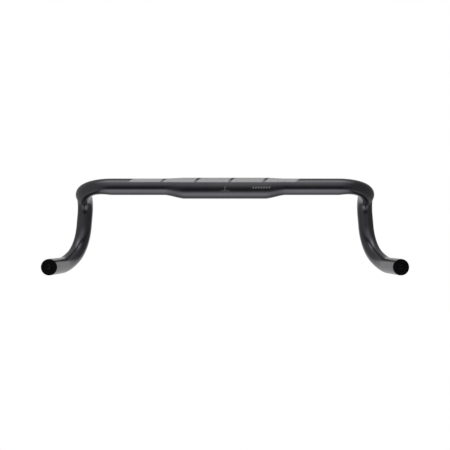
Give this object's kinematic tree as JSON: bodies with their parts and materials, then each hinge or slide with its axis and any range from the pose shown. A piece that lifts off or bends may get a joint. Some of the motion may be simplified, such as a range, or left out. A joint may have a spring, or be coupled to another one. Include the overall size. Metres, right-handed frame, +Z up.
{
  "type": "drop handlebar",
  "caption": "Flared drop handlebar in satin black alloy, with a wide stem clamp area, shaped tops and an expanding plug in each end.",
  "frame": {"origin": "middle of the stem clamp area, on its axis", "axes": "+X to the rider's right along the clamp axis, +Y forward in the direction of travel, +Z up"},
  "size_m": [0.53, 0.1498, 0.1439],
  "materials": {
    "bar_black": "satin black anodised alloy with pale printed marks along the top",
    "plug_plastic": "fine matt moulded plastic",
    "bolt_black": "black oxide steel",
    "washer_steel": "plain zinc plated steel",
    "cone_alloy": "machined alloy",
    "jaw_plastic": "grey moulded plastic with grip ridges",
    "band_rubber": "smooth black rubber"
  },
  "bodies": {
    "bar": {"bar_tube": "bar_black"},
    "left_plug": {"left_plug_cap": "plug_plastic", "left_plug_washer": "washer_steel", "left_plug_band": "band_rubber"},
    "left_bolt": {"left_plug_bolt": "bolt_black"},
    "left_cone": {"left_plug_cone": "cone_alloy"},
    "left_jaw_1": {"left_plug_jaw_1": "jaw_plastic"},
    "left_jaw_2": {"left_plug_jaw_2": "jaw_plastic"},
    "left_jaw_3": {"left_plug_jaw_3": "jaw_plastic"},
    "right_plug": {"right_plug_cap": "plug_plastic", "right_plug_washer": "washer_steel", "right_plug_band": "band_rubber"},
    "right_bolt": {"right_plug_bolt": "bolt_black"},
    "right_cone": {"right_plug_cone": "cone_alloy"},
    "right_jaw_1": {"right_plug_jaw_1": "jaw_plastic"},
    "right_jaw_2": {"right_plug_jaw_2": "jaw_plastic"},
    "right_jaw_3": {"right_plug_jaw_3": "jaw_plastic"}
  },
  "joints": [
    {"name": "left_plug_pull", "type": "slide", "parent": "bar", "child": "left_plug", "axis": [-0.134, -0.991, 0], "range_m": [0, 0.05]},
    {"name": "left_bolt_turn", "type": "hinge", "parent": "left_plug", "child": "left_bolt", "pos_m": [-0.25308, -0.0635, -0.1161], "axis": [-0.134, -0.991, 0], "range_deg": [0, 1444]},
    {"name": "left_cone_slide", "type": "slide", "parent": "left_plug", "child": "left_cone", "axis": [0.134, 0.991, 0], "range_m": [0, 0.0032]},
    {"name": "left_jaw_1_slide", "type": "slide", "parent": "left_plug", "child": "left_jaw_1", "axis": [0, 0, -1], "range_m": [0, 0.000455]},
    {"name": "left_jaw_2_slide", "type": "slide", "parent": "left_plug", "child": "left_jaw_2", "axis": [-0.8582, 0.116, 0.5], "range_m": [0, 0.000455]},
    {"name": "left_jaw_3_slide", "type": "slide", "parent": "left_plug", "child": "left_jaw_3", "axis": [0.8582, -0.116, 0.5], "range_m": [0, 0.000455]},
    {"name": "right_plug_pull", "type": "slide", "parent": "bar", "child": "right_plug", "axis": [0.134, -0.991, 0], "range_m": [0, 0.05]},
    {"name": "right_bolt_turn", "type": "hinge", "parent": "right_plug", "child": "right_bolt", "pos_m": [0.25308, -0.0635, -0.1161], "axis": [0.134, -0.991, 0], "range_deg": [0, 1444]},
    {"name": "right_cone_slide", "type": "slide", "parent": "right_plug", "child": "right_cone", "axis": [-0.134, 0.991, 0], "range_m": [0, 0.0032]},
    {"name": "right_jaw_1_slide", "type": "slide", "parent": "right_plug", "child": "right_jaw_1", "axis": [0, 0, -1], "range_m": [0, 0.000455]},
    {"name": "right_jaw_2_slide", "type": "slide", "parent": "right_plug", "child": "right_jaw_2", "axis": [0.8582, 0.116, 0.5], "range_m": [0, 0.000455]},
    {"name": "right_jaw_3_slide", "type": "slide", "parent": "right_plug", "child": "right_jaw_3", "axis": [-0.8582, -0.116, 0.5], "range_m": [0, 0.000455]}
  ],
  "couplings": [
    {"joint": "left_bolt_turn", "follows": "left_cone_slide", "rad_per_m": 7854},
    {"joint": "left_jaw_1_slide", "follows": "left_cone_slide", "ratio": 0.14054},
    {"joint": "left_jaw_2_slide", "follows": "left_cone_slide", "ratio": 0.14054},
    {"joint": "left_jaw_3_slide", "follows": "left_cone_slide", "ratio": 0.14054},
    {"joint": "right_bolt_turn", "follows": "right_cone_slide", "rad_per_m": 7854},
    {"joint": "right_jaw_1_slide", "follows": "right_cone_slide", "ratio": 0.14054},
    {"joint": "right_jaw_2_slide", "follows": "right_cone_slide", "ratio": 0.14054},
    {"joint": "right_jaw_3_slide", "follows": "right_cone_slide", "ratio": 0.14054}
  ]
}
